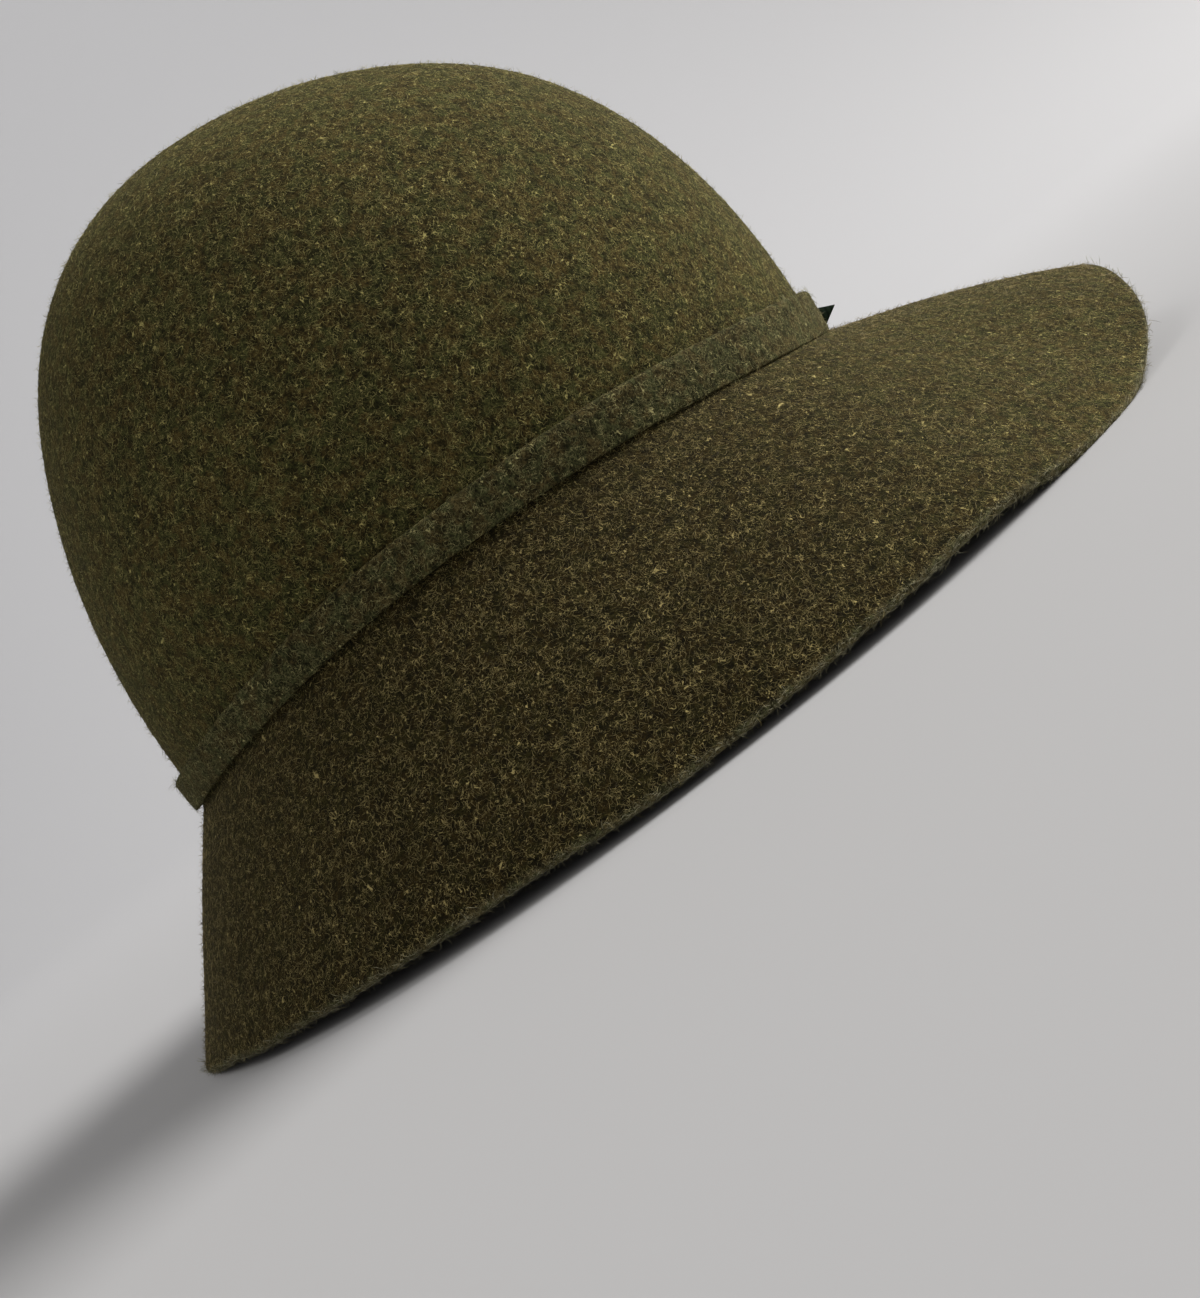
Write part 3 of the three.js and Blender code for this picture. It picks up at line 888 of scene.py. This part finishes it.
# The nap's wools, dark and light. The brim's dark fibres are painted darker than the crown's as painted
# shade, and the edge's paler as a painted highlight.
fibreColors = {
    "crown": ((0.076, 0.068, 0.015, 1), (0.42, 0.37, 0.13, 1)),
    "brim": ((0.044, 0.032, 0.009, 1), (0.42, 0.335, 0.135, 1)),
    "edge": ((0.14, 0.13, 0.075, 1), (0.44, 0.41, 0.26, 1)),
    "band": ((0.076, 0.072, 0.024, 1), (0.42, 0.39, 0.17, 1)),
}
fibreMaterials = {key: makeFibreMaterial(key + " fibres", *colors) for key, colors in fibreColors.items()}
for name, piece in napPieces.items():
    piece.data.materials.append(fibreMaterials[name.split("_")[0]])
print("stage: materials made")

# The hood, the band and the ribbon take their nodes' places. All pieces ride on the one body.
for piece, node, slotName in ((hoodPiece, "hat_body", "hood_felt"), (bandPiece, "band", "band_felt"),
                              (ribbonPiece, "ribbon_tab", "ribbon")):
    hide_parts(node)
    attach(piece, "root")
for name, piece in napPieces.items():
    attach(piece, "root")

# The floor sweeps up beyond the hat, as the camera sees it, in one seamless pale sheet.
studio = {
    "sweepStart": 1.2,         # how far beyond the hat the floor starts to rise
    "sweepRadius": 2.2,
    "sweepSteps": 40,
    "halfWidth": 6.0,
    "wallHeight": 4.0,
    "nearEdge": -3.0,
    "worldColor": (1.0, 0.98, 0.96, 1), # of the even light from all round
    "worldStrength": 0.2,
}
floorFinish = {
    "color": (0.49, 0.49, 0.50, 1),
    "roughness": 0.9,
    "specular": 0.5,
}


# Floor profile in X and Z: level, then a quarter circle, then straight up.
def makeFloor():
    a = np.linspace(0, np.pi / 2, studio["sweepSteps"])
    curveX = studio["sweepStart"] + studio["sweepRadius"] * np.sin(a)
    curveZ = studio["sweepRadius"] * (1 - np.cos(a))
    x = np.concatenate([[studio["nearEdge"]], curveX, curveX[-1:]])
    z = np.concatenate([[0], curveZ, [studio["wallHeight"]]])
    left = np.stack([x, np.full(len(x), -studio["halfWidth"]), z], -1)
    right = np.stack([x, np.full(len(x), studio["halfWidth"]), z], -1)
    points = np.concatenate([left, right])
    i = np.arange(len(x) - 1)
    quads = np.stack([i, i + 1, i + 1 + len(x), i + len(x)], -1)
    floor = meshFromFaces("studio_floor", points, quads, np.zeros((0, 3), int))
    material, _, shader = newMaterial("pale floor", floorFinish)
    shader.inputs["Base Color"].default_value = floorFinish["color"]
    floor.data.materials.append(material)


makeFloor()

# Soft square studio lights, each with a place, size, strength in watts and colour. They aim at the middle
# of the hat unless told otherwise.
warmWhite = (1.0, 0.98, 0.95)
lights = {
    "key": {"place": (0.1, -2.6, 1.7), "size": 2.0, "watts": 133.0, "color": warmWhite},
    "fill": {"place": (-1.8, -0.3, 0.8), "size": 1.6, "watts": 5.0, "color": warmWhite},
    "rim": {"place": (0.0, 0.9, 1.5), "size": 1.2, "watts": 5.0, "color": warmWhite},
    "backdrop": {"place": (1.0, 0.2, 2.4), "size": 2.4, "watts": 30.0, "color": (0.98, 0.98, 1.0),
                 "aim": (3.4, 0.2, 1.4)},
}
hatAim = (0, 0, 0.09)


# Directions to the right, up and back of something that looks from its place at a target, kept level.
def aimAt(place, target):
    back = np.array(place, float) - target
    back /= np.linalg.norm(back)
    right = np.cross([0, 0, 1], back)
    right /= np.linalg.norm(right)
    return right, np.cross(back, right), back


def placeObject(item, place, right, up, back):
    item.matrix_world = Matrix((
        (right[0], up[0], back[0], place[0]),
        (right[1], up[1], back[1], place[1]),
        (right[2], up[2], back[2], place[2]),
        (0, 0, 0, 1)))


def makeLights():
    for name, values in lights.items():
        data = bpy.data.lights.new(name, "AREA")
        data.size = values["size"]
        data.energy = values["watts"]
        data.color = values["color"]
        item = bpy.data.objects.new(name, data)
        bpy.context.scene.collection.objects.link(item)
        placeObject(item, values["place"], *aimAt(values["place"], values.get("aim", hatAim)))
    world = bpy.data.worlds.new("studio")
    world.use_nodes = True
    background = world.node_tree.nodes["Background"]
    background.inputs["Color"].default_value = studio["worldColor"]
    background.inputs["Strength"].default_value = studio["worldStrength"]
    bpy.context.scene.world = world


makeLights()

# The camera stands on the wearer's right, level with the band, and is rolled about its view, so that the
# hat is seen tipped back.
camera = {
    "place": (-0.47276, 0.05398, 0.00918), # from the middle of the head opening
    "heading": -7.083,         # degrees, from +X towards +Y
    "pitch": -4.88,            # degrees, up from level
    "roll": -37.213,           # degrees, by which its right side is turned up
    "lens": 49.92,
    "sensor": 36,
    "nearClip": 0.01,
}


# The view's direction from heading and pitch. Right and up turn about it by the roll.
def makeCamera():
    data = bpy.data.cameras.new("camera")
    data.lens = camera["lens"]
    data.sensor_width = camera["sensor"]
    data.sensor_fit = "AUTO"
    data.clip_start = camera["nearClip"]
    item = bpy.data.objects.new("camera", data)
    bpy.context.scene.collection.objects.link(item)
    heading, pitch, roll = np.radians([camera["heading"], camera["pitch"], camera["roll"]])
    forward = np.array([np.cos(pitch) * np.cos(heading), np.cos(pitch) * np.sin(heading), np.sin(pitch)])
    levelRight = np.array([np.sin(heading), -np.cos(heading), 0])
    levelUp = np.cross(levelRight, forward)
    right = levelRight * np.cos(roll) + levelUp * np.sin(roll)
    placeObject(item, hatMiddle + camera["place"], right, np.cross(right, forward), -forward)
    bpy.context.scene.camera = item


makeCamera()
bpy.context.scene.view_settings.view_transform = "Standard"
print("stage: floor, lights and camera placed")
